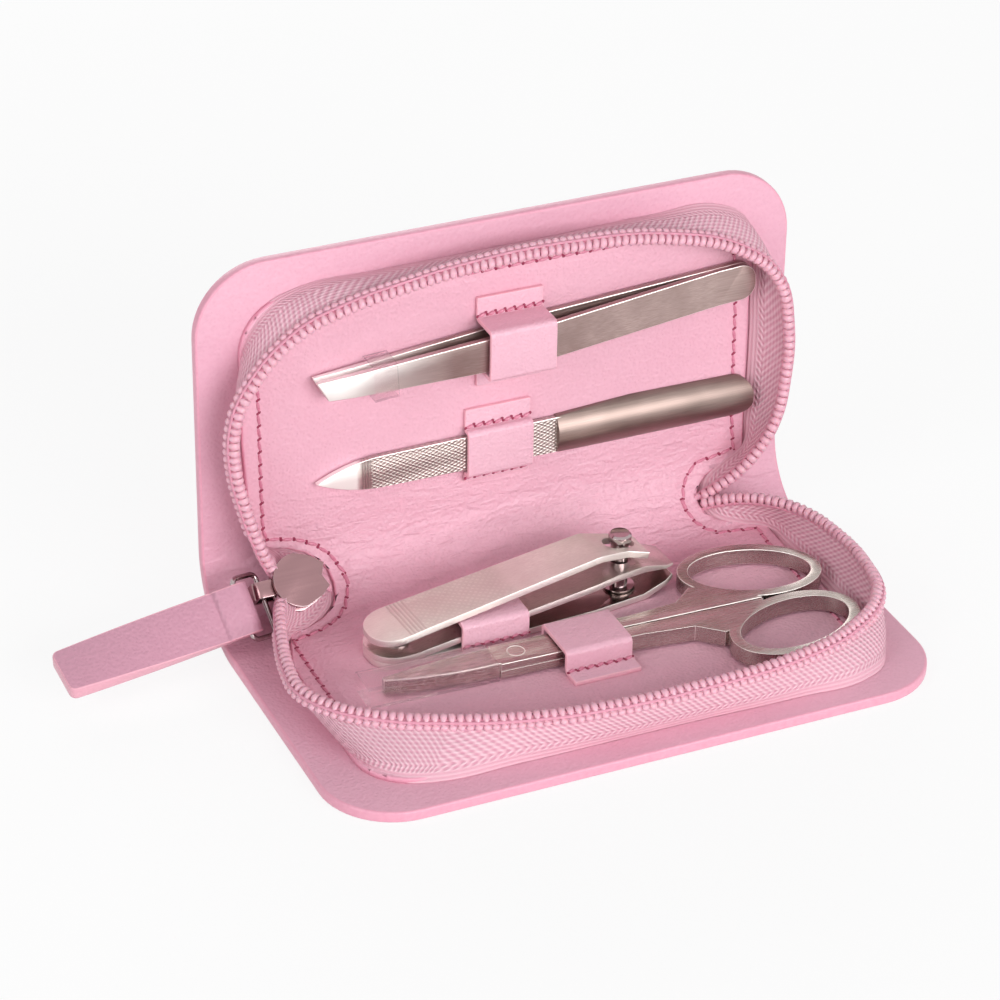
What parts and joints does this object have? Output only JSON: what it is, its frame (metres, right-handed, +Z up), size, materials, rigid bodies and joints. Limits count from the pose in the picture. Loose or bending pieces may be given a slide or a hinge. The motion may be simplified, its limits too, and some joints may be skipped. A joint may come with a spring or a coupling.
{
  "type": "manicure set case",
  "caption": "Zip-round leather case that opens like a book, with loops holding clipper, scissors, tweezers and file.",
  "frame": {"origin": "centre of the lower cover's underside, halfway between its front edge and the fold line", "axes": "+Z up, +X along the spine away from the pull tab, +Y from the front edge towards the spine"},
  "size_m": [0.1532, 0.0745, 0.0745],
  "materials": {
    "cover_leather": "fine-grained faux leather, satin",
    "facing_leather": "fine-grained faux leather, satin",
    "lining_leather": "smooth faux leather, satin",
    "stiffener": "plain grey board",
    "zip_tape": "woven polyester tape",
    "zip_coil": "moulded nylon coil, satin",
    "slider_metal": "polished nickel plate",
    "ring_wire": "polished nickel plate",
    "tab_leather": "fine-grained faux leather, painted edge",
    "loop_leather": "thin smooth faux leather",
    "satin_steel": "satin brushed stainless steel",
    "file_steel": "stainless steel with a diamond-cut face",
    "clear_plastic": "clear soft PVC"
  },
  "bodies": {
    "base": {"base_cover": "cover_leather", "base_board": "stiffener", "base_facing": "facing_leather", "base_lining": "lining_leather", "base_zip_tape": "zip_tape", "base_zip_coil": "zip_coil", "clipper_loop": "loop_leather", "scissors_loop": "loop_leather"},
    "spine": {"spine_cover": "cover_leather", "spine_lining": "lining_leather", "zip_end_left": "zip_tape", "zip_end_right": "zip_tape", "zip_slider": "slider_metal"},
    "ring": {"pull_ring": "ring_wire"},
    "tab": {"pull_tab": "tab_leather"},
    "lid": {"lid_cover": "cover_leather", "lid_board": "stiffener", "lid_facing": "facing_leather", "lid_lining": "lining_leather", "lid_zip_tape": "zip_tape", "lid_zip_coil": "zip_coil", "tweezers_loop": "loop_leather", "file_loop": "loop_leather"},
    "clipper": {"clipper_lower_plate": "satin_steel", "clipper_rivet": "satin_steel"},
    "clipper_upper": {"clipper_upper_plate": "satin_steel"},
    "clipper_post": {"clipper_post": "satin_steel"},
    "clipper_lever": {"clipper_lever": "satin_steel"},
    "scissors": {"scissors_upper_half": "satin_steel", "scissors_screw": "satin_steel"},
    "scissors_lower": {"scissors_lower_half": "satin_steel"},
    "sleeve": {"tip_sleeve": "clear_plastic"},
    "tweezers": {"tweezers_back_arm": "satin_steel"},
    "tweezers_front": {"tweezers_front_arm": "satin_steel"},
    "band": {"tweezers_band": "clear_plastic"},
    "file": {"file_blade": "file_steel", "file_handle": "satin_steel"}
  },
  "joints": [
    {"name": "spine_fold", "type": "hinge", "parent": "base", "child": "spine", "pos_m": [0, 0.029, 0.0011], "axis": [1, 0, 0], "range_deg": [-45, 45]},
    {"name": "lid_fold", "type": "hinge", "parent": "spine", "child": "lid", "pos_m": [0, 0.04442, 0.01651], "axis": [1, 0, 0], "range_deg": [-45, 45]},
    {"name": "ring_swing", "type": "hinge", "parent": "spine", "child": "ring", "pos_m": [-0.05165, 0.03473, 0.01079], "axis": [0.1239, -0.6536, -0.7467], "range_deg": [-20, 15]},
    {"name": "tab_swing", "type": "hinge", "parent": "ring", "child": "tab", "pos_m": [-0.05681, 0.0307, 0.01064], "axis": [0.1239, -0.6536, -0.7467], "range_deg": [-60, 25]},
    {"name": "clipper_slide", "type": "slide", "parent": "base", "child": "clipper", "axis": [0.998, 0.0628, 0], "range_m": [-0.004, 0]},
    {"name": "jaw_press", "type": "hinge", "parent": "clipper", "child": "clipper_upper", "pos_m": [-0.03191, 0.01708, 0.0046], "axis": [0.0628, -0.998, 0], "range_deg": [-1.7, 0], "stiffness_Nm_per_rad": 2},
    {"name": "post_swivel", "type": "hinge", "parent": "clipper", "child": "clipper_post", "pos_m": [0.0148, 0.02002, 0.0143], "axis": [0, 0, -1], "range_deg": [-35, 0]},
    {"name": "lever_lift", "type": "hinge", "parent": "clipper_post", "child": "clipper_lever", "pos_m": [0.0148, 0.02002, 0.0143], "axis": [0.0628, -0.998, 0], "range_deg": [-20, 0]},
    {"name": "scissors_slide", "type": "slide", "parent": "base", "child": "scissors", "axis": [0.9997, -0.0262, 0], "range_m": [-0.0008, 0]},
    {"name": "scissors_pivot", "type": "hinge", "parent": "scissors", "child": "scissors_lower", "pos_m": [-0.0137, 0.004, 0.0052], "axis": [0, 0, 1], "range_deg": [-3, 0]},
    {"name": "sleeve_slide", "type": "slide", "parent": "scissors", "child": "sleeve", "axis": [0.9997, -0.0262, 0], "range_m": [-0.004, 0]},
    {"name": "tweezers_slide", "type": "slide", "parent": "lid", "child": "tweezers", "axis": [0.9982, 0, 0.0602], "range_m": [-0.008, 0]},
    {"name": "tweezers_squeeze", "type": "hinge", "parent": "tweezers", "child": "tweezers_front", "pos_m": [0.04351, 0.04052, 0.05293], "axis": [-0.0602, 0, 0.9982], "range_deg": [-0.9, 0], "stiffness_Nm_per_rad": 1},
    {"name": "band_slide", "type": "slide", "parent": "tweezers", "child": "band", "axis": [0.9982, 0, 0.0602], "range_m": [-0.008, 0]},
    {"name": "file_slide", "type": "slide", "parent": "lid", "child": "file", "axis": [1, 0, 0], "range_m": [-0.005, 0]}
  ],
  "couplings": [
    {"joint": "lid_fold", "follows": "spine_fold", "ratio": 1}
  ]
}
